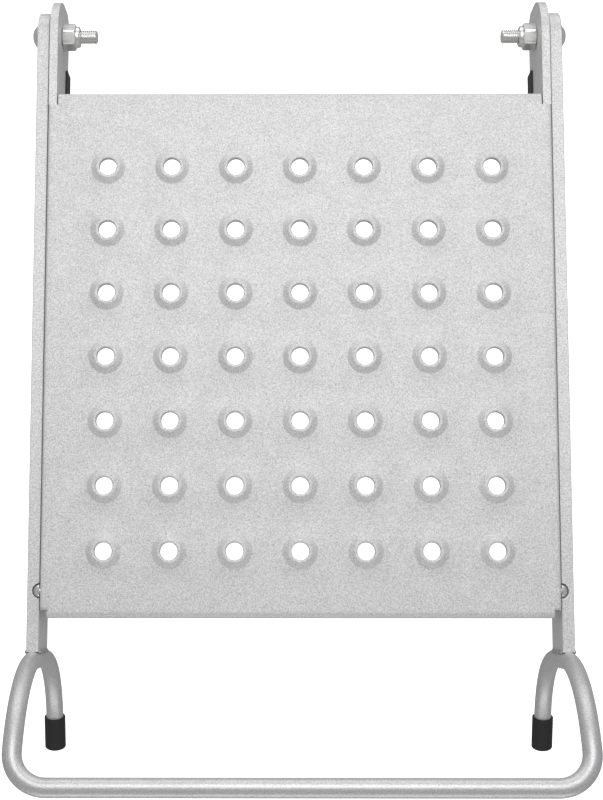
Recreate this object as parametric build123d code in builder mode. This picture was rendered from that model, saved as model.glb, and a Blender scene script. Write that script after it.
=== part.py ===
from build123d import *
import math
import os

# Fold-down step platform of a rolling warehouse ladder, in millimetres.
# The origin is the centre of the hinge axis. X runs across the ladder, -Y runs
# forward to the toe rail and +Z is up. The platform is drawn level, as in use.

os.makedirs("parts", exist_ok=True)

# ---- tread: one folded sheet with a grid of stamped, raised drain holes ----
tread_width = 356.0  # over the two side edges of the sheet
tread_rear = 50.2  # hinge axis to the rear flange
tread_depth = 369.8  # rear flange to front flange
tread_rise = 25.0  # walking surface above the hinge axis
sheet = 3.0  # sheet thickness
bend_radius = 2.5  # of the sheet's mid-line
flange_height = 30.0
front_corner_cut = 5.5  # the side strip stops this far short of the front
relief_width = 1.0  # slit between the rear bend and an ear
front_lap = 1.1  # the front flange reaches this far over a cheek's front end
relief_depth = 8.8
side_edge_radius = 1.8

hole_pitch = 45.0
hole_radius = 6.0
first_row = 54.3  # rear flange to the first row of holes
edge_margin = 37.0  # least distance from an edge to a hole's centre
dimple_radius = 12.2  # where the raised ring leaves the sheet
dimple_lip_radius = 8.4  # where its slope turns over into the lip
dimple_rise = 2.5
collar_wall = 1.6  # drawn collar around each hole
collar_drop = 2.0  # its lower end, below the walking surface

# ---- cheeks: the plates that the sheet is welded to ------------------------
cheek_thickness = 6.0
cheek_drop = 28.5  # hinge axis to the cheek's lower edge
ear_reach = 26.0  # hinge axis to the ear's rear end
ear_radius = 30.0  # upper rear corner
ear_heel_radius = 10.0  # lower rear corner
cheek_corner_radius = 6.0  # lower front corner
cheek_edge_radius = 0.4

# ---- arms: flat bars outside the cheeks ------------------------------------
side_gap = 1.0  # between a cheek and its arm
arm_thickness = 8.5
arm_height = 40.0
arm_tail = 16.5  # rear end behind the hinge axis
arm_reach = 23.0  # front end ahead of the tread
arm_edge_radius = 0.6

# ---- toe rail: one round bar bent into two side loops and a front rail ------
bar_radius = 6.35
saddle_depth = 0.6  # the arm's end is hollowed this deep over the bar
straight_below = 27.0  # straight stretch at the arm's end, under the hinge level
straight_above = 11.0
upper_loop_radius = 85.2
upper_loop_turn = 68.5  # degrees from upright
lower_loop_radius = 74.0
lower_loop_turn = 68.0
lower_loop_splay = 1.2  # degrees that the lower loop turns outwards
rail_corner_radius = 23.0
tail_length = 22.8  # straight end of the bar inside its foot cap
weld_radius = 1.5
weld_length = 34.0

cap_wall = 1.5
cap_floor = 2.6
cap_end_radius = 1.2

# ---- edge guards: rubber strips on the lower edge of the cheeks -------------
guard_wall = 1.5
guard_floor = 2.0
guard_height = 14.5
guard_start = 20.0  # hinge axis to the strip's rear end
guard_front_gap = 4.0  # from the cheek's front end
guard_corner_radius = 1.0

# ---- hinge fasteners --------------------------------------------------------
bolt_radius = 5.0
bolt_length = 40.8
hinge_clearance = 0.1
end_play = 0.15
head_radius = 8.75
head_height = 6.4
head_rim = 1.6  # straight part of the head, next to the arm
socket_size = 6.0  # across the flats
socket_depth = 3.1
bolt_chamfer = 1.0
nut_size = 17.0  # across the flats
nut_hex_height = 9.6
nut_collar_height = 2.8
nut_collar_wall = 1.0
nut_turn = 21.0  # degrees about the bolt, so that one flat looks up and forward
insert_wall = 1.6
insert_length = 2.2
washer_radius = 10.0
washer_play = 0.1

# ---- stop pins: riveted in the cheeks, resting in notches in the arms --------
pin_from_front = 18.7  # front of the tread to the pin
pin_drop = 3.0  # pin's axis below the arm's upper edge
pin_radius = 3.0
pin_head_radius = 5.0
pin_head_height = 4.8
pin_tail_radius = 4.0
pin_tail_height = 1.4
notch_clearance = 0.25

# ---- places that follow from the sizes above --------------------------------
tread_front = tread_rear + tread_depth
flange_mid_drop = tread_rise - sheet / 2
cheek_outer = tread_width / 2
cheek_inner = cheek_outer - cheek_thickness
flange_half = cheek_inner - relief_width
front_flange_half = cheek_inner + front_lap
cheek_top = tread_rise - sheet
cheek_front = tread_front - front_corner_cut
ear_end = tread_rear + relief_depth  # the ear's flush top meets the sheet here
arm_inner = cheek_outer + side_gap
arm_outer = arm_inner + arm_thickness
arm_front = tread_front + arm_reach
bar_x = (arm_inner + arm_outer) / 2
bar_y = -(arm_front + bar_radius - saddle_depth)
pin_y = -(tread_front - pin_from_front)
pin_z = arm_height / 2 - pin_drop
bolt_seat = arm_outer + end_play
nut_seat = cheek_inner - end_play
corner_radius_of_nut = nut_size / 2 / math.cos(math.radians(30))
insert_radius = bolt_radius + insert_wall
nut_collar_radius = insert_radius + nut_collar_wall

holes_across = int((tread_width - 2 * edge_margin) / hole_pitch) + 1
holes_along = int((tread_depth - first_row - edge_margin) / hole_pitch) + 1
grid_centre = tread_rear + first_row + hole_pitch * (holes_along - 1) / 2

SIDES = {"left": -1, "right": 1}


# ---- tread plate --------------------------------------------------------------
lip_width = dimple_lip_radius - hole_radius
dimple_slope = (dimple_rise - 0.2) / (dimple_radius - dimple_lip_radius)
skirt = 1.0  # the stamp's solid reaches this far under the surface
undercut = sheet + 0.6

with BuildPart() as stamped_ring:
    with BuildSketch(Plane.XZ):
        with BuildLine():
            lip_start = (dimple_lip_radius, dimple_rise - 0.2)
            lip_top = (dimple_lip_radius - lip_width / 2, dimple_rise)
            lip_end = (hole_radius - 0.1, dimple_rise - 0.7)
            Polyline((0, lip_end[1]), (0, -skirt), (dimple_radius + skirt / dimple_slope, -skirt), lip_start)
            ThreePointArc(lip_start, lip_top, lip_end)
            Line(lip_end, (0, lip_end[1]))
        make_face()
    revolve(axis=Axis.Z)

with BuildPart() as stamped_hollow:
    with BuildSketch(Plane.XZ):
        with BuildLine():
            collar_outer = hole_radius + collar_wall
            hollow_top = dimple_rise + 0.2 - sheet
            Polyline(
                (0, dimple_rise + 1),
                (hole_radius, dimple_rise + 1),
                (hole_radius, -collar_drop),
                (collar_outer, -collar_drop),
                (collar_outer, hollow_top),
                (collar_outer + (hollow_top + undercut) / dimple_slope, -undercut),
                (0, -undercut),
                close=True,
            )
        make_face()
    revolve(axis=Axis.Z)

with BuildPart() as tread_plate:
    with BuildSketch(Plane.YZ):
        with BuildLine():
            rear_mid = -(tread_rear + sheet / 2)
            front_mid = -(tread_front - sheet / 2)
            FilletPolyline(
                (rear_mid, tread_rise - flange_height),
                (rear_mid, flange_mid_drop),
                (front_mid, flange_mid_drop),
                (front_mid, tread_rise - flange_height),
                radius=bend_radius,
            )
        trace(line_width=sheet)
    extrude(amount=flange_half, both=True)
    with BuildSketch(Plane.YZ):
        with BuildLine():
            FilletPolyline(
                (-cheek_front, flange_mid_drop),
                (front_mid, flange_mid_drop),
                (front_mid, tread_rise - flange_height),
                radius=bend_radius,
            )
        trace(line_width=sheet)
    extrude(amount=front_flange_half, both=True)
    with BuildSketch(Plane.XY.offset(cheek_top)):
        strip_length = cheek_front - ear_end
        with Locations((0, -(ear_end + strip_length / 2))):
            Rectangle(tread_width, strip_length)
        front_corners = [v for v in vertices() if v.Y < -ear_end - strip_length / 2]
        fillet(front_corners, radius=sheet)
    extrude(amount=sheet)
    side_edges = edges().filter_by(Axis.Y).filter_by(lambda e: abs(e.center().X) > cheek_outer - 0.1)
    fillet(side_edges.group_by(Axis.Z)[-1], radius=side_edge_radius)
    with Locations((0, -grid_centre, tread_rise)):
        with GridLocations(hole_pitch, hole_pitch, holes_across, holes_along):
            add(stamped_ring.part)
    with Locations((0, -grid_centre, tread_rise)):
        with GridLocations(hole_pitch, hole_pitch, holes_across, holes_along):
            add(stamped_hollow.part, mode=Mode.SUBTRACT)
tread_plate.part.label = "tread_plate"
export_step(tread_plate.part, "parts/tread_plate.step")


# ---- toe rail -----------------------------------------------------------------
def loop_point(centre_z, radius, degrees, splay=0):
    """Point of the left loop: degrees are measured from the loop's rearmost point."""
    turn = math.radians(degrees)
    reach = radius * (1 - math.cos(turn))
    outwards = math.radians(splay)
    x = -bar_x - reach * math.sin(outwards)
    return Vector(x, bar_y - reach * math.cos(outwards), centre_z + radius * math.sin(turn))


def lower_point(degrees):
    """Point of the left loop's lower arc, which turns a little outwards."""
    return loop_point(-straight_below, lower_loop_radius, -degrees, lower_loop_splay)


lower_turn = math.radians(lower_loop_turn)
upper_turn = math.radians(upper_loop_turn)
splay_turn = math.radians(lower_loop_splay)
tail_forward = math.sin(lower_turn) * math.cos(splay_turn)
tail_outward = math.sin(lower_turn) * math.sin(splay_turn)
tail_direction = Vector(-tail_outward, -tail_forward, -math.cos(lower_turn))
leg_direction = Vector(0, -math.sin(upper_turn), math.cos(upper_turn))
tail_start = lower_point(lower_loop_turn)
tail_end = tail_start + tail_direction * tail_length
leg_end = loop_point(straight_above, upper_loop_radius, upper_loop_turn)
corner_centre = leg_end + Vector(rail_corner_radius, 0, 0)
corner_half = Vector(-math.cos(math.pi / 4), 0, 0) + leg_direction * math.sin(math.pi / 4)
rail_start = corner_centre + leg_direction * rail_corner_radius
rail_middle = Vector(0, rail_start.Y, rail_start.Z)

with BuildPart() as toe_rail:
    with BuildLine() as rail_path:
        Line(tail_end, tail_start)
        ThreePointArc(tail_start, lower_point(lower_loop_turn / 2), lower_point(0))
        Line((-bar_x, bar_y, -straight_below), (-bar_x, bar_y, straight_above))
        ThreePointArc(
            loop_point(straight_above, upper_loop_radius, 0),
            loop_point(straight_above, upper_loop_radius, upper_loop_turn / 2),
            leg_end,
        )
        ThreePointArc(leg_end, corner_centre + corner_half * rail_corner_radius, rail_start)
        Line(rail_start, rail_middle)
    with BuildSketch(Plane(origin=tail_end, z_dir=-tail_direction)):
        Circle(bar_radius)
    sweep(path=rail_path.wire())
    mirror(about=Plane.YZ)
toe_rail.part.label = "toe_rail"
export_step(toe_rail.part, "parts/toe_rail.step")


# ---- pieces that come in a left and right pair --------------------------------
for hand, side in SIDES.items():
    # Cheek plate with its hinge ear, stepped down under the sheet.
    with BuildPart() as cheek:
        with BuildSketch(Plane.YZ.offset(side * cheek_inner)):
            with BuildLine():
                Polyline(
                    (ear_reach, -cheek_drop),
                    (ear_reach, tread_rise),
                    (-ear_end, tread_rise),
                    (-ear_end, cheek_top),
                    (-cheek_front, cheek_top),
                    (-cheek_front, -cheek_drop),
                    close=True,
                )
            make_face()
            fillet(vertices().group_by(Axis.X)[-1].sort_by(Axis.Y)[-1], radius=ear_radius)
            fillet(vertices().group_by(Axis.X)[-1].sort_by(Axis.Y)[0], radius=ear_heel_radius)
            fillet(vertices().group_by(Axis.X)[0].sort_by(Axis.Y)[0], radius=cheek_corner_radius)
        extrude(amount=side * cheek_thickness)
        fillet(faces().filter_by(Axis.X).edges(), radius=cheek_edge_radius)
        with BuildSketch(Plane.YZ.offset(side * cheek_inner)):
            Circle(bolt_radius + hinge_clearance)
            with Locations((pin_y, pin_z)):
                Circle(pin_radius)
        extrude(amount=side * cheek_thickness, mode=Mode.SUBTRACT)
    cheek.part.label = f"cheek_{hand}"
    export_step(cheek.part, f"parts/cheek_{hand}.step")

    # Rubber strip, L-shaped, along the inside and the underside of the cheek.
    with BuildPart() as edge_guard:
        with BuildSketch(Plane.XZ.offset(guard_start)):
            with BuildLine():
                inner = side * (cheek_inner - guard_wall)
                Polyline(
                    (side * cheek_inner, guard_height - cheek_drop),
                    (inner, guard_height - cheek_drop),
                    (inner, -cheek_drop - guard_floor),
                    (side * cheek_outer, -cheek_drop - guard_floor),
                    (side * cheek_outer, -cheek_drop),
                    (side * cheek_inner, -cheek_drop),
                    close=True,
                )
            make_face()
        extrude(amount=cheek_front - guard_front_gap - cheek_corner_radius - guard_start)
        long_edges = edges().filter_by(Axis.Y)
        bottom_corner = long_edges.sort_by(lambda e: abs(e.center().X) + e.center().Z)[0]
        fillet(bottom_corner, radius=guard_corner_radius)
    edge_guard.part.label = f"edge_guard_{hand}"
    export_step(edge_guard.part, f"parts/edge_guard_{hand}.step")

    # Stop pin: domed head in the arm's notch, shank through the cheek, riveted tail.
    with BuildPart() as stop_pin:
        with BuildSketch(Plane.XY.offset(pin_z)):
            with BuildLine():
                head_base = (side * arm_inner, pin_y - pin_head_radius)
                head_crown = (side * (arm_inner + pin_head_height), pin_y)
                tail_face = side * (cheek_inner - pin_tail_height)
                TangentArc(head_crown, head_base, tangent=(0, -1))
                Polyline(
                    head_crown,
                    (tail_face, pin_y),
                    (tail_face, pin_y - pin_tail_radius),
                    (side * cheek_inner, pin_y - pin_tail_radius),
                    (side * cheek_inner, pin_y - pin_radius),
                    (side * arm_inner, pin_y - pin_radius),
                    head_base,
                )
            make_face()
        revolve(axis=Axis((0, pin_y, pin_z), (1, 0, 0)))
    stop_pin.part.label = f"stop_pin_{hand}"
    export_step(stop_pin.part, f"parts/stop_pin_{hand}.step")

    # Arm: flat bar with a round rear end, a blind notch for the stop pin and a
    # front end hollowed to sit on the toe rail.
    with BuildPart() as arm:
        with BuildSketch(Plane.YZ.offset(side * arm_inner)):
            with BuildLine():
                tail_centre = arm_tail - arm_height / 2
                arm_top = (tail_centre, arm_height / 2)
                arm_bottom = (tail_centre, -arm_height / 2)
                ThreePointArc(arm_bottom, (arm_tail, 0), arm_top)
                Polyline(arm_top, (-arm_front, arm_height / 2), (-arm_front, -arm_height / 2), arm_bottom)
            make_face()
        extrude(amount=side * arm_thickness)
        fillet(edges().filter_by(Axis.Y), radius=arm_edge_radius)
        with BuildSketch(Plane.YZ.offset(side * arm_inner)):
            Circle(bolt_radius + hinge_clearance)
        extrude(amount=side * arm_thickness, mode=Mode.SUBTRACT)
        with BuildSketch(Plane.XY.offset(pin_z)):
            with BuildLine():
                notch_radius = pin_head_radius + notch_clearance
                notch_crown = (side * (arm_inner + pin_head_height + notch_clearance), pin_y)
                notch_front = (side * arm_inner, pin_y - notch_radius)
                notch_rear = (side * arm_inner, pin_y + notch_radius)
                TangentArc(notch_crown, notch_front, tangent=(0, -1))
                TangentArc(notch_crown, notch_rear, tangent=(0, 1))
                Line(notch_front, notch_rear)
            make_face()
        extrude(amount=2 * pin_drop, mode=Mode.SUBTRACT)
        with BuildSketch(Plane.XY.offset(pin_z)):
            with BuildLine():
                TangentArc(notch_crown, notch_front, tangent=(0, -1))
                Polyline(notch_crown, (side * arm_inner, pin_y), notch_front)
            make_face()
        revolve(axis=Axis((0, pin_y, pin_z), (1, 0, 0)), mode=Mode.SUBTRACT)
        add(toe_rail.part, mode=Mode.SUBTRACT)
    arm.part.label = f"arm_{hand}"
    export_step(arm.part, f"parts/arm_{hand}.step")

    # Two weld beads that join the arm's end to the bar, one on each face.
    with BuildPart() as rail_weld:
        for face_x in (arm_inner, arm_outer):
            with BuildSketch(Plane.XY.offset(-weld_length / 2)):
                with Locations((side * face_x, -arm_front)):
                    Circle(weld_radius)
            extrude(amount=weld_length)
        fillet(edges().filter_by(GeomType.CIRCLE), radius=0.9 * weld_radius)
        add(arm.part, mode=Mode.SUBTRACT)
        add(toe_rail.part, mode=Mode.SUBTRACT)
    rail_weld.part.label = f"rail_weld_{hand}"
    export_step(rail_weld.part, f"parts/rail_weld_{hand}.step")

    # Rubber foot cap pushed over the bar's straight end.
    cap_mouth = Vector(-side * tail_start.X, tail_start.Y, tail_start.Z)
    cap_direction = Vector(-side * tail_direction.X, tail_direction.Y, tail_direction.Z)
    cap_plane = Plane(origin=cap_mouth, z_dir=cap_direction)
    with BuildPart() as foot_cap:
        with BuildSketch(cap_plane):
            Circle(bar_radius + cap_wall)
        extrude(amount=tail_length + cap_floor)
        end_face = faces().sort_by(Axis(tuple(cap_mouth), tuple(cap_direction)))[-1]
        fillet(end_face.edges(), radius=cap_end_radius)
        with BuildSketch(cap_plane):
            Circle(bar_radius)
        extrude(amount=tail_length, mode=Mode.SUBTRACT)
    foot_cap.part.label = f"foot_cap_{hand}"
    export_step(foot_cap.part, f"parts/foot_cap_{hand}.step")

    # Button-head hinge bolt, head outside the arm.
    with BuildPart() as hinge_bolt:
        with BuildSketch(Plane.XY):
            with BuildLine():
                seat = side * bolt_seat
                rim = side * (bolt_seat + head_rim)
                crown = side * (bolt_seat + head_height)
                tip = side * (bolt_seat - bolt_length)
                tip_edge = side * (bolt_seat - bolt_length + bolt_chamfer)
                Polyline(
                    (crown, 0),
                    (tip, 0),
                    (tip, bolt_radius - bolt_chamfer),
                    (tip_edge, bolt_radius),
                    (seat, bolt_radius),
                    (seat, head_radius),
                    (rim, head_radius),
                )
                TangentArc((crown, 0), (rim, head_radius), tangent=(0, 1))
            make_face()
        revolve(axis=Axis.X)
        with BuildSketch(Plane.YZ.offset(crown)):
            RegularPolygon(radius=socket_size / 2, side_count=6, major_radius=False)
        extrude(amount=-side * socket_depth, mode=Mode.SUBTRACT)
    hinge_bolt.part.label = f"hinge_bolt_{hand}"
    export_step(hinge_bolt.part, f"parts/hinge_bolt_{hand}.step")

    # Thin washer that keeps the arm off the cheek.
    with BuildPart() as thrust_washer:
        with BuildSketch(Plane.YZ.offset(side * (cheek_outer + washer_play))):
            Circle(washer_radius)
            Circle(bolt_radius, mode=Mode.SUBTRACT)
        extrude(amount=side * (side_gap - 2 * washer_play))
    thrust_washer.part.label = f"thrust_washer_{hand}"
    export_step(thrust_washer.part, f"parts/thrust_washer_{hand}.step")

    # Lock nut with a round collar that holds the nylon ring.
    nut_end = nut_seat - nut_hex_height - nut_collar_height
    with BuildPart() as lock_nut:
        with BuildSketch(Plane.YZ.offset(side * nut_seat)):
            RegularPolygon(radius=corner_radius_of_nut, side_count=6, rotation=nut_turn)
        extrude(amount=-side * nut_hex_height)
        with BuildSketch(Plane.YZ.offset(side * nut_end)):
            Circle(nut_collar_radius)
        extrude(amount=side * nut_collar_height)
        with BuildSketch(Plane.YZ.offset(side * nut_seat)):
            Circle(bolt_radius)
        extrude(amount=-side * (nut_hex_height + nut_collar_height), mode=Mode.SUBTRACT)
        with BuildSketch(Plane.YZ.offset(side * nut_end)):
            Circle(insert_radius)
        extrude(amount=side * insert_length, mode=Mode.SUBTRACT)
    lock_nut.part.label = f"lock_nut_{hand}"
    export_step(lock_nut.part, f"parts/lock_nut_{hand}.step")

    # Nylon locking ring in the nut's collar.
    with BuildPart() as nut_insert:
        with BuildSketch(Plane.YZ.offset(side * nut_end)):
            Circle(insert_radius)
            Circle(bolt_radius, mode=Mode.SUBTRACT)
        extrude(amount=side * insert_length)
    nut_insert.part.label = f"nut_insert_{hand}"
    export_step(nut_insert.part, f"parts/nut_insert_{hand}.step")
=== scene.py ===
import math

import bmesh
import bpy
from mathutils import Matrix, Vector


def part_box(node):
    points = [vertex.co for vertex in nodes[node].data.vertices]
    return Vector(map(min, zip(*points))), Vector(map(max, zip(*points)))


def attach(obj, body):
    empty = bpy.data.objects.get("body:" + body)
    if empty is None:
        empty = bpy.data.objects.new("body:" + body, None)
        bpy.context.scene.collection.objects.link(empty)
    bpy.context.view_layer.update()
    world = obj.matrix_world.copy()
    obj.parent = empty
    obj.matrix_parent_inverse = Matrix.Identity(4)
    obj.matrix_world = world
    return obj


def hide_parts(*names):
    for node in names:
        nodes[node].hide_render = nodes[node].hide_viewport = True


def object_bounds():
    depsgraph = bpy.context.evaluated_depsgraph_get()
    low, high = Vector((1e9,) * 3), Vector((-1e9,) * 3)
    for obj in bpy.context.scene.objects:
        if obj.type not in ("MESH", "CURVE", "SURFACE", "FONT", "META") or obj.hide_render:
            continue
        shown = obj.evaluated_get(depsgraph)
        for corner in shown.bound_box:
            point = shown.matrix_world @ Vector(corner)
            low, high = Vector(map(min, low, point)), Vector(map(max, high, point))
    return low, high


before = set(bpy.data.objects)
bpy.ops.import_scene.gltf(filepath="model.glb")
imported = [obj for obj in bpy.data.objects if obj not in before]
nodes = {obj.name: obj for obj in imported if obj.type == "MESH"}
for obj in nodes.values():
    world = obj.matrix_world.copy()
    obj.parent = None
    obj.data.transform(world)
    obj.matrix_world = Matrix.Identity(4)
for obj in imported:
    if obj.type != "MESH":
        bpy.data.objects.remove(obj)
cad_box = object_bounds()
scene = bpy.context.scene
MM = 0.001
UP = Vector((0, 0, 1))
SIDES = {"left": -1, "right": 1}

# ---- sizes shared with the frame, in millimetres ------------------------------
SHEET = 3.0
BEND = 4.0  # outside radius of the two folds
FLANGE = 30.0
SLIT = 1.0  # between the rear fold and an ear
EAR_MEETS = 8.8  # rear flange to the place where an ear meets the sheet
FRONT_LAP = 1.1
FRONT_CUT = 5.5
CHEEK = 6.0
PITCH = 45.0
HOLES = 7
FIRST_ROW = 54.3
HOLE = 6.0
HOLE_STEPS = 48  # facets round a hole
COLLAR = 7.6
FRONT_CORNER = 3.0  # radius at the sheet's two front corners
SIDE_ROUND = 1.8  # radius along the sheet's welded side edges
BAR = 6.35
STRAIGHT_BELOW = 27.0
STRAIGHT_ABOVE = 11.0
UPPER_LOOP = 85.2
UPPER_TURN = math.radians(68.5)
LOWER_LOOP = 74.0
LOWER_TURN = math.radians(68.0)
SPLAY = math.radians(1.2)
CORNER = 23.0
TAIL = 22.8
CAP = 7.85
CAP_LENGTH = 25.4
CAP_END = 2.4  # thickness of the closed end
CAP_EDGE = 1.2  # radius round the closed end
RIB_PITCH = 1.5
RIB_DEPTH = 0.16
RIB_STARTS = 24
SHANK = 5.0
HEAD_HEIGHT = 6.4
HEAD_RIM = 1.6
HEAD_GAP = 0.15  # between the arm's face and the underside of the head
SOCKET = 6.0  # hex socket, across the flats
SOCKET_BORE = 3.47  # radius that holds the socket's corners
SOCKET_MOUTH = 3.7
SOCKET_DEPTH = 3.1
THREAD_PITCH = 1.5
THREAD_DEPTH = 0.85
THREAD_LENGTH = 16.2
NUT_FLATS = 17.0
NUT_HEX = 9.6
NUT_COLLAR = 7.6
NUT_TURN = math.radians(21)
PIN = 3.0
PIN_TAIL = 4.0
PIN_GAP = 1.0  # between the cheek's face and the underside of the pin's head


# ---- materials ------------------------------------------------------------------
def linear(code):
    """An sRGB hex colour as linear red, green, blue and alpha."""
    parts = [int(code[i : i + 2], 16) / 255 for i in (1, 3, 5)]
    return [c / 12.92 if c <= 0.04045 else ((c + 0.055) / 1.055) ** 2.4 for c in parts] + [1.0]


def add(tree, kind, inputs, **settings):
    """A new node with its settings; an input is a value or the socket that feeds it."""
    made = tree.nodes.new(kind)
    for name, value in settings.items():
        setattr(made, name, value)
    for name, value in inputs.items():
        if isinstance(value, bpy.types.NodeSocket):
            tree.links.new(value, made.inputs[name])
        else:
            made.inputs[name].default_value = value
    return made


def material(name):
    """An empty material with its tree and its Principled node."""
    made = bpy.data.materials.new(name)
    made.use_nodes = True
    return made, made.node_tree, made.node_tree.nodes["Principled BSDF"]


def noise(tree, size_mm, detail):
    """Noise in object space whose grain has a given size in millimetres."""
    place = add(tree, "ShaderNodeTexCoord", {}).outputs["Object"]
    inputs = {"Vector": place, "Scale": 1 / (size_mm * MM), "Detail": detail}
    return add(tree, "ShaderNodeTexNoise", inputs).outputs["Fac"]


def ranged(tree, value, start, end, low, high):
    """Maps a value from the range start to end onto the range low to high."""
    inputs = {"Value": value, "From Min": start, "From Max": end, "To Min": low, "To Max": high}
    return add(tree, "ShaderNodeMapRange", inputs).outputs["Result"]


def mixed(tree, factor, first, second):
    """A mix of two colours."""
    inputs = {"Factor": factor, 6: first, 7: second}
    return add(tree, "ShaderNodeMix", inputs, data_type="RGBA").outputs[2]


def zinc_coat(name, dark, light, metallic, rough, grain_mm, relief_mm, specks):
    """Zinc with a fine mottled grain, a slow cloudiness and scattered dark specks."""
    made, tree, shader = material(name)
    grain = noise(tree, grain_mm, 3.0)
    grain_part = ranged(tree, grain, 0.38, 0.62, 0.0, 0.88)
    cloud_part = ranged(tree, noise(tree, 14, 2.0), 0.3, 0.7, 0.0, 0.12)
    tone = add(tree, "ShaderNodeMath", {0: grain_part, 1: cloud_part}, operation="ADD").outputs["Value"]
    zinc = mixed(tree, tone, linear(dark), linear(light))
    place = add(tree, "ShaderNodeTexCoord", {}).outputs["Object"]
    cells = add(tree, "ShaderNodeTexVoronoi", {"Vector": place, "Scale": 1 / (5 * MM), "Randomness": 1.0})
    speck = ranged(tree, cells.outputs["Distance"], 0.06, 0.12, specks, 0.0)
    colour = mixed(tree, speck, zinc, linear("#6E6E6E"))
    relief = add(tree, "ShaderNodeBump", {"Strength": 1.0, "Distance": relief_mm * MM, "Height": grain})
    tree.links.new(colour, shader.inputs["Base Color"])
    tree.links.new(relief.outputs["Normal"], shader.inputs["Normal"])
    shader.inputs["Metallic"].default_value = metallic
    shader.inputs["Roughness"].default_value = rough
    return made


# Galvanised sheet: pale even grey, dull, with a sandy grain and a few dark flecks.
sheet_zinc = zinc_coat("galvanised_sheet_zinc", "#C0C0C0", "#ECECEC", 0.3, 0.55, 0.75, 0.09, 0.5)
# Galvanised plate and flat bar: the same grey, a little smoother and cleaner.
plate_zinc = zinc_coat("galvanised_plate_zinc", "#C2C2C2", "#EAEAEA", 0.35, 0.5, 0.9, 0.06, 0.4)
# Galvanised round bar: satin zinc that shows long soft highlights along the bends.
bar_zinc = zinc_coat("galvanised_round_bar", "#C0C0C0", "#DEDEDE", 0.65, 0.43, 0.8, 0.05, 0.2)
# Weld metal under the zinc: darker and rough.
weld_zinc = zinc_coat("galvanised_weld", "#A2A2A2", "#C0C0C0", 0.6, 0.55, 0.6, 0.06, 0.3)

# Bright zinc plating on bolts, nuts and pins: satin bright, with a fine haze.
bright_zinc, tree, shader = material("bright_zinc_plating")
gloss = ranged(tree, noise(tree, 1.5, 2.0), 0.3, 0.7, 0.28, 0.4)
tree.links.new(gloss, shader.inputs["Roughness"])
shader.inputs["Base Color"].default_value = linear("#ECECEB")
shader.inputs["Metallic"].default_value = 1.0

# Black moulded rubber: nearly black, with a soft dull sheen.
black_rubber, tree, shader = material("black_moulded_rubber")
shade = mixed(tree, noise(tree, 3, 3.0), linear("#131313"), linear("#232323"))
tree.links.new(shade, shader.inputs["Base Color"])
shader.inputs["Roughness"].default_value = 0.62

# Natural nylon of the locking ring: milky, with a slight gloss.
nylon, tree, shader = material("natural_nylon")
shade = mixed(tree, noise(tree, 2, 1.0), linear("#D5D8DA"), linear("#E6E8E8"))
tree.links.new(shade, shader.inputs["Base Color"])
shader.inputs["Roughness"].default_value = 0.4


# ---- shaping helpers --------------------------------------------------------------
def finish(bm, name, body, look, slot, *replaced, sharp=32):
    """Makes the mesh an object that rides on a body and stands for CAD nodes."""
    bmesh.ops.remove_doubles(bm, verts=bm.verts, dist=1e-6)
    bmesh.ops.recalc_face_normals(bm, faces=bm.faces)
    for face in bm.faces:
        face.smooth = True
    for edge in bm.edges:
        if len(edge.link_faces) == 2 and edge.calc_face_angle(0.0) > math.radians(sharp):
            edge.smooth = False
    mesh = bpy.data.meshes.new(name)
    bm.to_mesh(mesh)
    bm.free()
    mesh.materials.append(look)
    piece = bpy.data.objects.new(name, mesh)
    scene.collection.objects.link(piece)
    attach(piece, body)
    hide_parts(*replaced)


def lathe(profile, steps=72, ring=False):
    """Spins (along, radius) points, in millimetres, about the X axis."""
    bm = bmesh.new()
    rim = [bm.verts.new((along * MM, 0, radius * MM)) for along, radius in profile]
    pairs = list(zip(rim, rim[1:]))
    if ring:
        pairs.append((rim[-1], rim[0]))
    edges = [bm.edges.new(pair) for pair in pairs]
    bmesh.ops.spin(
        bm, geom=rim + edges, cent=(0, 0, 0), axis=(1, 0, 0), angle=math.tau, steps=steps, use_merge=True
    )
    bmesh.ops.remove_doubles(bm, verts=bm.verts, dist=1e-6)
    return bm


def hexagon(bm, low, high, flats, inner, outer, turn=0.0):
    """Cuts six flats on the turned skin between two places on X and two radii."""
    for vert in bm.verts:
        radius = math.hypot(vert.co.y, vert.co.z)
        if low * MM <= vert.co.x <= high * MM and inner * MM < radius < outer * MM:
            angle = (math.atan2(vert.co.z, vert.co.y) - turn) % (math.pi / 3) - math.pi / 6
            reach = flats / 2 * MM / math.cos(angle)
            shrink = min(1.0, reach / radius)
            vert.co.y *= shrink
            vert.co.z *= shrink


def stand(bm, side, place):
    """Turns a piece made for the right side half round for the left, then places it."""
    if side < 0:
        bmesh.ops.rotate(bm, verts=bm.verts, cent=(0, 0, 0), matrix=Matrix.Rotation(math.pi, 3, "Z"))
    bmesh.ops.translate(bm, verts=bm.verts, vec=place)


def extruded(bm, edges, shift):
    """Pulls edges along a vector and gives the new edges."""
    made = bmesh.ops.extrude_edge_only(bm, edges=edges)["geom"]
    bmesh.ops.translate(bm, verts=[g for g in made if isinstance(g, bmesh.types.BMVert)], vec=shift)
    return [g for g in made if isinstance(g, bmesh.types.BMEdge) and len(g.link_faces) == 1]


def spun(bm, edges, centre, axis, angle, steps):
    """Sweeps edges round an axis and gives the last edges."""
    last = bmesh.ops.spin(bm, geom=edges, cent=centre, axis=axis, angle=angle, steps=steps)["geom_last"]
    return [g for g in last if isinstance(g, bmesh.types.BMEdge)]


def rounded(bm, edges, radius):
    """Rounds edges to a radius in millimetres."""
    bmesh.ops.bevel(
        bm,
        geom=edges,
        offset=radius * MM,
        offset_type="OFFSET",
        segments=5,
        profile=0.5,
        affect="EDGES",
        material=-1,
    )


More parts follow.
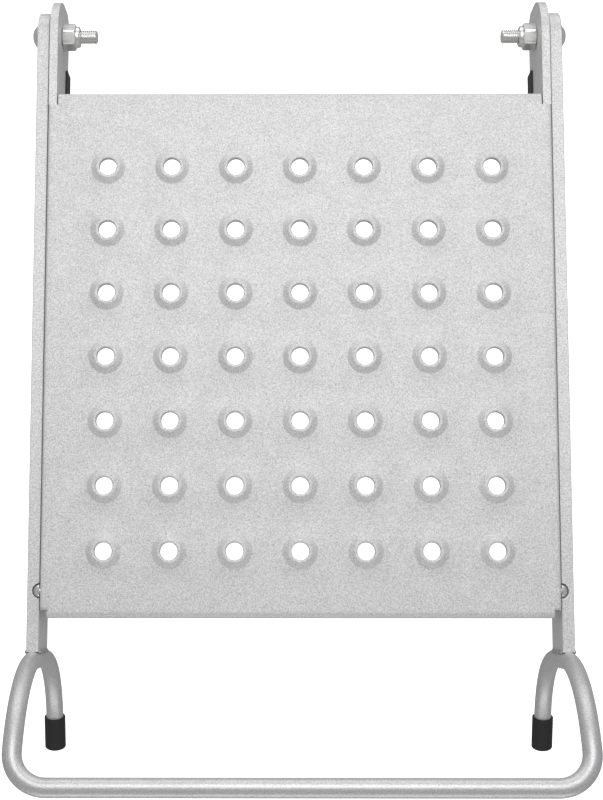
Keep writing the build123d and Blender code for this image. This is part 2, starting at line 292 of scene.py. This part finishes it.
def rim_edges(bm, index, value):
    """Open edges that lie on one line of X or Y, in millimetres."""
    return [
        e
        for e in bm.edges
        if len(e.link_faces) == 1 and all(abs(v.co[index] - value * MM) < 1e-5 for v in e.verts)
    ]


def height(table, radius):
    """Straight-line reading of a (radius, height) table."""
    for (r0, h0), (r1, h1) in zip(table, table[1:]):
        if radius <= r1:
            return h0 + (h1 - h0) * max(0.0, radius - r0) / (r1 - r0)
    return 0.0


def cap_points(crown, rim_height, rim_radius, radii):
    """Points of a spherical cap, given its crown, the height over its rim and the rim's radius."""
    ball = (rim_radius * rim_radius + rim_height * rim_height) / (2 * rim_height)
    return [(crown - ball + math.sqrt(ball * ball - radius * radius), radius) for radius in radii]


# ---- tread: one folded sheet with raised rings round the holes -----------------------
low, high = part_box("tread_plate")
half_width = high.x / MM
rear = -high.y / MM
front = -low.y / MM
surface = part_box("cheek_left")[1].z / MM
fold_half = half_width - CHEEK - SLIT
front_half = half_width - CHEEK + FRONT_LAP
ear_line = rear + EAR_MEETS
front_line = front - FRONT_CUT
grid_middle = rear + FIRST_ROW + PITCH * (HOLES - 1) / 2
grid_half = PITCH * HOLES / 2
RINGS = (6.15, 6.5, 7.2, COLLAR, 7.75, 8.3, 8.8, 9.6, 10.8, 11.7, 12.05, 12.3)
# Radius and rise of a stamped ring, on the sheet's upper and lower faces.
TOP = ((HOLE, 1.9), (6.15, 2.2), (6.5, 2.42), (7.2, 2.5), (7.75, 2.46), (8.3, 2.25), (8.8, 1.95))
TOP += ((9.6, 1.47), (10.8, 0.76), (11.7, 0.23), (12.05, 0.04), (12.3, 0.0))
UNDER = ((HOLE, 1.0), (COLLAR, 1.0), (7.75, 2.5), (8.3, 2.3), (12.05, 0.0), (12.3, 0.0))

tread = bmesh.new()
bmesh.ops.create_circle(tread, cap_ends=False, segments=HOLE_STEPS, radius=HOLE * MM)
edges = list(tread.edges)
reached = HOLE
for radius in RINGS:
    edges = extruded(tread, edges, (0, 0, 0))
    verts = list({v for e in edges for v in e.verts})
    bmesh.ops.scale(tread, verts=verts, vec=(radius / reached, radius / reached, 1))
    reached = radius
edges = extruded(tread, edges, (0, 0, 0))
for vert in {v for e in edges for v in e.verts}:
    vert.co *= PITCH / 2 * MM / max(abs(vert.co.x), abs(vert.co.y))
tile = list(tread.verts) + list(tread.edges) + list(tread.faces)
for column in range(HOLES):
    for row in range(HOLES):
        if column or row:
            copy = bmesh.ops.duplicate(tread, geom=tile)["geom"]
            shift = (column * PITCH * MM, row * PITCH * MM, 0)
            verts = [g for g in copy if isinstance(g, bmesh.types.BMVert)]
            bmesh.ops.translate(tread, verts=verts, vec=shift)
corner = Vector((PITCH / 2 - grid_half, PITCH / 2 - grid_half - grid_middle, surface)) * MM
bmesh.ops.translate(tread, verts=tread.verts, vec=corner)
bmesh.ops.remove_doubles(tread, verts=tread.verts, dist=1e-5)

for side in (-1, 1):
    line = rim_edges(tread, 0, side * grid_half)
    for start, end in ((grid_half, fold_half), (fold_half, front_half), (front_half, half_width)):
        line = extruded(tread, line, (side * (end - start) * MM, 0, 0))
grid_rear = grid_half - grid_middle
grid_front = -grid_half - grid_middle
line = rim_edges(tread, 1, grid_rear)
line = extruded(tread, line, (0, (-ear_line - grid_rear) * MM, 0))
extruded(tread, line, (0, (ear_line - rear - BEND) * MM, 0))
line = rim_edges(tread, 1, grid_front)
line = extruded(tread, line, (0, (-front_line - grid_front) * MM, 0))
extruded(tread, line, (0, (front_line - front + BEND) * MM, 0))
spare = []
for face in tread.faces:
    middle = face.calc_center_median() / MM
    behind = middle.y > -ear_line and abs(middle.x) > fold_half
    ahead = middle.y < -front_line and abs(middle.x) > front_half
    if behind or ahead:
        spare.append(face)
bmesh.ops.delete(tread, geom=spare, context="FACES")

for edge_y, direction in ((-(rear + BEND), 1), (-(front - BEND), -1)):
    line = rim_edges(tread, 1, edge_y)
    centre = Vector((0, edge_y, surface - BEND)) * MM
    line = spun(tread, line, centre, (-direction, 0, 0), math.pi / 2, 6)
    extruded(tread, line, (0, 0, -(FLANGE - BEND) * MM))
bmesh.ops.remove_doubles(tread, verts=tread.verts, dist=1e-6)
bmesh.ops.recalc_face_normals(tread, faces=tread.faces)
if sum(face.normal.z for face in tread.faces) < 0:
    bmesh.ops.reverse_faces(tread, faces=tread.faces)
bmesh.ops.solidify(tread, geom=tread.faces, thickness=SHEET * MM)


def at_corner(vert):
    """Whether a vertex stands on one of the sheet's two front corners."""
    beside = abs(abs(vert.co.x) - half_width * MM) < 1e-5
    return beside and abs(vert.co.y + front_line * MM) < 1e-5


corners = [edge for edge in tread.edges if all(at_corner(vert) for vert in edge.verts)]
rounded(tread, corners, FRONT_CORNER)
side_edges = []
for edge in tread.edges:
    middle = (edge.verts[0].co + edge.verts[1].co) / 2 / MM
    on_rim = abs(middle.x) > front_half + 0.2 and middle.z > surface - 0.1 and len(edge.link_faces) == 2
    if on_rim and -front_line - 0.1 < middle.y < -ear_line - 0.1:
        tilts = sorted(abs(f.normal.z) for f in edge.link_faces)
        if tilts[0] < 0.1 and tilts[1] > 0.9:
            side_edges.append(edge)
rounded(tread, side_edges, SIDE_ROUND)

for vert in tread.verts:
    x = vert.co.x / MM
    y = vert.co.y / MM + grid_middle
    if abs(x) < grid_half and abs(y) < grid_half:
        away = math.hypot(x - PITCH * round(x / PITCH), y - PITCH * round(y / PITCH))
        if away < RINGS[-1] - 0.05:
            on_top = vert.co.z > (surface - SHEET / 2) * MM
            vert.co.z += height(TOP if on_top else UNDER, away) * MM
finish(tread, "folded_tread_sheet", "tread", sheet_zinc, "galvanised_sheet", "tread_plate", sharp=40)


# ---- toe rail: one round bar bent into two side loops and a front rail ---------------
arm_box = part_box("arm_left")
bar_x = -(arm_box[0].x + arm_box[1].x) / 2 / MM
bar_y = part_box("toe_rail")[1].y / MM - BAR
outwards = Vector((-math.sin(SPLAY), -math.cos(SPLAY), 0))
forwards = Vector((0, -1, 0))
tail_way = outwards * math.sin(LOWER_TURN) - UP * math.cos(LOWER_TURN)
leg_way = forwards * math.sin(UPPER_TURN) + UP * math.cos(UPPER_TURN)
lower_end = Vector((-bar_x, bar_y, -STRAIGHT_BELOW))
lower_centre = lower_end + outwards * LOWER_LOOP
lower_arm = outwards * math.cos(LOWER_TURN) + UP * math.sin(LOWER_TURN)
tail_start = lower_centre - lower_arm * LOWER_LOOP
upper_centre = Vector((-bar_x, bar_y - UPPER_LOOP, STRAIGHT_ABOVE))
upper_arm = UP * math.sin(UPPER_TURN) - forwards * math.cos(UPPER_TURN)
leg_end = upper_centre + upper_arm * UPPER_LOOP
corner_centre = leg_end + Vector((CORNER, 0, 0))

rail = bmesh.new()
turn = (-tail_way).to_track_quat("Z", "Y").to_matrix().to_4x4()
turn.translation = (tail_start + tail_way * TAIL) * MM
bmesh.ops.create_circle(rail, cap_ends=True, segments=40, radius=BAR * MM, matrix=turn)
line = list(rail.edges)
line = extruded(rail, line, -tail_way * TAIL * MM)
line = spun(rail, line, lower_centre * MM, UP.cross(outwards), LOWER_TURN, 20)
line = extruded(rail, line, UP * (STRAIGHT_BELOW + STRAIGHT_ABOVE) * MM)
line = spun(rail, line, upper_centre * MM, UP.cross(forwards), UPPER_TURN, 24)
line = spun(rail, line, corner_centre * MM, Vector((-1, 0, 0)).cross(leg_way), math.pi / 2, 18)
extruded(rail, line, Vector((bar_x - CORNER, 0, 0)) * MM)
bmesh.ops.mirror(rail, geom=rail.verts[:] + rail.edges[:] + rail.faces[:], merge_dist=1e-5, axis="X")
finish(rail, "bent_toe_rail", "arm_frame", bar_zinc, "round_bar", "toe_rail")


# ---- pieces on each side ----------------------------------------------------------------
for hand, side in SIDES.items():
    # Foot cap: a thick rubber sleeve with slanting ribs and a rounded end.
    profile = [(0, BAR), (0, CAP - 0.5), (0.15, CAP - 0.15), (0.5, CAP)]
    profile += [(0.5 + 0.25 * step, CAP) for step in range(1, 91)]
    for angle in (0.3, 0.7, 1.1, 1.57):
        edge_x = CAP_LENGTH - CAP_EDGE + CAP_EDGE * math.sin(angle)
        profile.append((edge_x, CAP - CAP_EDGE + CAP_EDGE * math.cos(angle)))
    profile += [(CAP_LENGTH, 0), (CAP_LENGTH - CAP_END, 0), (CAP_LENGTH - CAP_END, BAR)]
    cap = lathe(profile, steps=96, ring=True)
    for vert in cap.verts:
        radius = math.hypot(vert.co.y, vert.co.z)
        along = vert.co.x / MM
        if radius > (CAP - 0.1) * MM and 0.6 < along < CAP_LENGTH - 1.4:
            angle = math.atan2(vert.co.z, vert.co.y)
            rib = 0.5 + 0.5 * math.cos(math.tau * along / RIB_PITCH + RIB_STARTS * angle)
            scale = 1 - RIB_DEPTH * MM * rib / radius
            vert.co.y *= scale
            vert.co.z *= scale
    way = Vector((-side * tail_way.x, tail_way.y, tail_way.z))
    mouth = Vector((-side * tail_start.x, tail_start.y, tail_start.z))
    turn = way.to_track_quat("X", "Z").to_matrix().to_4x4()
    turn.translation = mouth * MM
    bmesh.ops.transform(cap, matrix=turn, verts=cap.verts)
    name = f"foot_cap_{hand}"
    finish(cap, f"ribbed_{name}", "arm_frame", black_rubber, "black_rubber", name, sharp=50)

    # Hinge bolt: button head with a hex socket, and a rolled thread to the tip.
    low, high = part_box(f"hinge_bolt_{hand}")
    tip = min(abs(low.x), abs(high.x)) / MM
    head = high.z / MM
    seat = -arm_box[0].x / MM + HEAD_GAP
    crown = seat + HEAD_HEIGHT
    profile = [(tip, 0), (tip, 3.6), (tip + 0.25, 3.95), (tip + 1.0, 4.85)]
    profile += [(tip + 1.0 + 0.25 * step, SHANK) for step in range(1, 61)]
    profile += [(seat, SHANK), (seat, head - 0.35), (seat + 0.35, head), (seat + HEAD_RIM, head)]
    radii = [head - (head - SOCKET_MOUTH) * step / 11 for step in range(1, 12)]
    profile += cap_points(crown, HEAD_HEIGHT - HEAD_RIM, head, radii)
    profile += [(crown - 1.0, SOCKET_BORE), (crown - SOCKET_DEPTH, SOCKET_BORE)]
    profile.append((crown - SOCKET_DEPTH - 0.5, 0))
    bolt = lathe(profile)
    hexagon(bolt, crown - SOCKET_DEPTH - 0.1, crown - 0.95, SOCKET, 1.0, 3.6)
    for vert in bolt.verts:
        along = vert.co.x / MM - tip
        radius = math.hypot(vert.co.y, vert.co.z)
        if 0.9 < along < THREAD_LENGTH and radius > 4.5 * MM:
            angle = math.atan2(vert.co.z, vert.co.y) / math.tau
            wave = abs(((along / THREAD_PITCH - angle) % 1.0) * 2 - 1)
            fade = min(1.0, (along - 0.6) / 1.2)
            scale = 1 - THREAD_DEPTH * MM * wave * fade / radius
            vert.co.y *= scale
            vert.co.z *= scale
    stand(bolt, side, (0, 0, 0))
    name = f"hinge_bolt_{hand}"
    finish(bolt, f"threaded_{name}", "hinge_bolts", bright_zinc, "zinc_fastener", name, sharp=45)

    # Lock nut: chamfered hexagon with a rolled collar over the nylon ring.
    low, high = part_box(f"lock_nut_{hand}")
    seat = max(abs(low.x), abs(high.x)) / MM
    end = min(abs(low.x), abs(high.x)) / MM
    hex_end = seat - NUT_HEX
    point = NUT_FLATS / 2 / math.cos(math.pi / 6)
    profile = [(seat, 5.05), (seat, 8.1), (seat - 0.45, 8.9), (seat - 0.9, point)]
    profile += [(hex_end + 1.1, point), (hex_end + 0.75, 9.35), (hex_end + 0.4, 8.9), (hex_end, 8.1)]
    profile += [(hex_end - 0.25, 7.75), (hex_end - 0.6, NUT_COLLAR), (end + 1.2, NUT_COLLAR)]
    profile += [(end + 0.55, 7.4), (end + 0.15, 7.05)]
    profile += [(end, 6.65), (end + 0.1, 6.2), (end + 0.5, 6.0), (end + 2.2, 6.0), (end + 2.2, 5.05)]
    nut = lathe(profile, ring=True)
    hexagon(nut, hex_end + 0.1, seat + 0.1, NUT_FLATS, 7.0, 10.0, side * NUT_TURN)
    stand(nut, side, (0, 0, 0))
    name = f"lock_nut_{hand}"
    finish(nut, f"chamfered_{name}", "hinge_bolts", bright_zinc, "zinc_fastener", name, sharp=28)

    # Stop pin: a domed head outside the cheek and a rolled-over tail inside.
    low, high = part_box(f"stop_pin_{hand}")
    crown = max(abs(low.x), abs(high.x)) / MM
    tail = min(abs(low.x), abs(high.x)) / MM
    head = (high.z - low.z) / 2 / MM
    middle = (low + high) / 2
    base = half_width + PIN_GAP
    profile = [(tail, 0), (tail, 2.9), (tail + 0.2, 3.5), (tail + 0.7, 3.9), (tail + 1.4, PIN_TAIL)]
    profile += [(tail + 1.4, PIN), (base, PIN), (base, head - 0.15), (base + 0.15, head)]
    radii = [head * math.cos(step / 12 * math.pi / 2) for step in range(1, 13)]
    profile += cap_points(crown, crown - base, head, radii)
    pin = lathe(profile, steps=48)
    stand(pin, side, (0, middle.y, middle.z))
    name = f"stop_pin_{hand}"
    finish(pin, f"domed_{name}", "tread", bright_zinc, "zinc_fastener", name, sharp=45)


# ---- finishes of the CAD nodes that stay visible --------------------------------------
for hand in SIDES:
    looks = {
        f"cheek_{hand}": plate_zinc,
        f"arm_{hand}": plate_zinc,
        f"rail_weld_{hand}": weld_zinc,
        f"thrust_washer_{hand}": bright_zinc,
        f"nut_insert_{hand}": nylon,
        f"edge_guard_{hand}": black_rubber,
    }
    for name, look in looks.items():
        nodes[name].data.materials.clear()
        nodes[name].data.materials.append(look)

# ---- floor, light and camera --------------------------------------------------------------
floor_mesh = bmesh.new()
bmesh.ops.create_grid(floor_mesh, x_segments=1, y_segments=1, size=0.8)
bmesh.ops.translate(floor_mesh, verts=floor_mesh.verts, vec=(0, -0.25, cad_box[0].z - 0.35))
mesh = bpy.data.meshes.new("studio_floor")
floor_mesh.to_mesh(mesh)
floor_mesh.free()
floor = bpy.data.objects.new("studio_floor", mesh)
scene.collection.objects.link(floor)
floor.visible_glossy = False
floor.visible_diffuse = False
# White studio table, lit through from below so that it reads as plain white.
paper, tree, shader = material("white_light_table")
shader.inputs["Base Color"].default_value = linear("#F4F4F4")
shader.inputs["Roughness"].default_value = 0.9
shader.inputs["Emission Color"].default_value = linear("#FFFFFF")
shader.inputs["Emission Strength"].default_value = 0.85
mesh.materials.append(paper)


def soft_box(name, place, target, width, height, power):
    """A rectangular studio light aimed at a point."""
    lamp = bpy.data.lights.new(name, "AREA")
    lamp.shape = "RECTANGLE"
    lamp.size = width
    lamp.size_y = height
    lamp.energy = power
    holder = bpy.data.objects.new(name, lamp)
    scene.collection.objects.link(holder)
    holder.location = place
    holder.rotation_euler = (Vector(target) - Vector(place)).to_track_quat("-Z", "Y").to_euler()


soft_box("overhead_soft_box", (0.04, 0.2, 1.35), (0, -0.2, 0), 1.2, 0.9, 10)
soft_box("rear_wall_light", (0.0, 1.5, 0.4), (0, -0.3, 0.1), 3.0, 0.9, 12)
soft_box("front_soft_box", (0.0, -1.5, 0.12), (0, -0.4, 0), 1.6, 0.5, 3)

world = bpy.data.worlds.new("studio_room")
scene.world = world
world.use_nodes = True
sky = world.node_tree.nodes["Background"]
sky.inputs["Color"].default_value = linear("#FFFFFF")
sky.inputs["Strength"].default_value = 0.37
scene.view_settings.view_transform = "Standard"

# Camera straight above the front of the tread, tipped a few degrees to the rear.
camera = bpy.data.cameras.new("camera")
camera.sensor_fit = "VERTICAL"
camera.sensor_height = 36.0
camera.lens = 67.19
camera.shift_x = 0.0335
camera.shift_y = 0.0398
holder = bpy.data.objects.new("camera", camera)
scene.collection.objects.link(holder)
tip_back = Matrix.Rotation(math.radians(6.37), 3, "X")
lean = Matrix.Rotation(math.radians(0.28), 3, "Y")
holder.matrix_world = (tip_back @ lean).to_4x4()
holder.location = Vector((-12.55, -406.56, 1049.35)) * MM
scene.camera = holder
